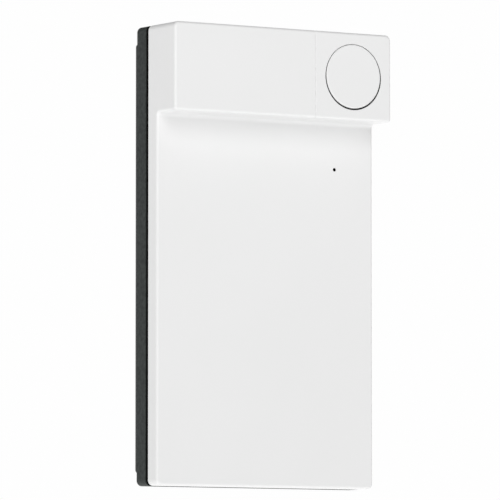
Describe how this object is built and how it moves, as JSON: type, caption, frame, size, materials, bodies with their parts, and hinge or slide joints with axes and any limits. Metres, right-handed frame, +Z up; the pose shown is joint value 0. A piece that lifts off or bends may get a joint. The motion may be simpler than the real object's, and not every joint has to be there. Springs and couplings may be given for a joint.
{
  "type": "video doorbell",
  "caption": "Slim white wall-mounted video doorbell with a deep header, a round push button in its end block, a pin-hole lens, and a dark rear housing on a steel wall plate.",
  "frame": {"origin": "on the wall face of the wall plate, half way across the unit and half way up it", "axes": "+X to the visitor's right, +Y into the wall, +Z up; the front looks along -Y"},
  "size_m": [0.1, 0.0297, 0.179],
  "materials": {
    "white_plastic": "fine satin moulded",
    "button_plastic": "satin, slightly smoother than the cover",
    "anthracite_plastic": "fine grained",
    "black_rubber": "matt",
    "coated_steel": "powder coated",
    "zinc_steel": "zinc plated",
    "spring_steel": "drawn wire",
    "black_plastic": "matt",
    "circuit_board": "green solder mask",
    "chip_plastic": "moulded epoxy",
    "tinned_steel": "tinned",
    "aluminium_can": "drawn can",
    "connector_plastic": "natural nylon",
    "lens_glass": "coated lens",
    "speaker_paper": "pressed pulp",
    "terminal_plastic": "moulded",
    "antenna_film": "polyimide film",
    "lead_sheath": "extruded",
    "ribbon_film": "laminated film"
  },
  "bodies": {
    "unit": {"front_cover": "white_plastic", "button_block": "white_plastic", "button_spring": "spring_steel", "switch_body": "black_plastic", "switch_board": "circuit_board", "block_screws": "zinc_steel", "rear_housing": "anthracite_plastic", "perimeter_gasket": "black_rubber", "cover_screws": "zinc_steel", "window_seal": "black_rubber", "wall_plate": "coated_steel", "security_screw": "zinc_steel", "main_board": "circuit_board", "board_screws": "zinc_steel", "processor_shield": "tinned_steel", "processor_chip": "chip_plastic", "radio_module": "tinned_steel", "board_chips": "chip_plastic", "power_capacitors": "aluminium_can", "power_transformer": "chip_plastic", "wire_connectors": "connector_plastic", "camera_board_socket": "black_plastic", "image_sensor": "chip_plastic", "camera_barrel": "black_plastic", "camera_lens": "lens_glass", "camera_gasket": "black_rubber", "speaker_gasket": "black_rubber", "speaker_frame": "zinc_steel", "speaker_magnet": "zinc_steel", "speaker_cone": "speaker_paper", "microphone_boot": "black_rubber", "microphone": "aluminium_can", "terminal_block": "terminal_plastic", "terminal_screws": "zinc_steel", "wifi_antenna": "antenna_film", "antenna_lead": "lead_sheath", "speaker_lead": "lead_sheath", "microphone_lead": "lead_sheath", "ribbon_cable": "ribbon_film"},
    "button": {"push_button": "button_plastic"},
    "plunger": {"switch_plunger": "black_plastic"}
  },
  "joints": [
    {"name": "button_press", "type": "slide", "parent": "unit", "child": "button", "axis": [0, 1, 0], "range_m": [0, 0.001], "stiffness_N_per_m": 1500, "springref_m": -0.0007, "deforming": ["button_spring"]},
    {"name": "plunger_press", "type": "slide", "parent": "unit", "child": "plunger", "axis": [0, 1, 0], "range_m": [0, 0.001]}
  ],
  "couplings": [
    {"joint": "plunger_press", "follows": "button_press", "ratio": 1}
  ]
}
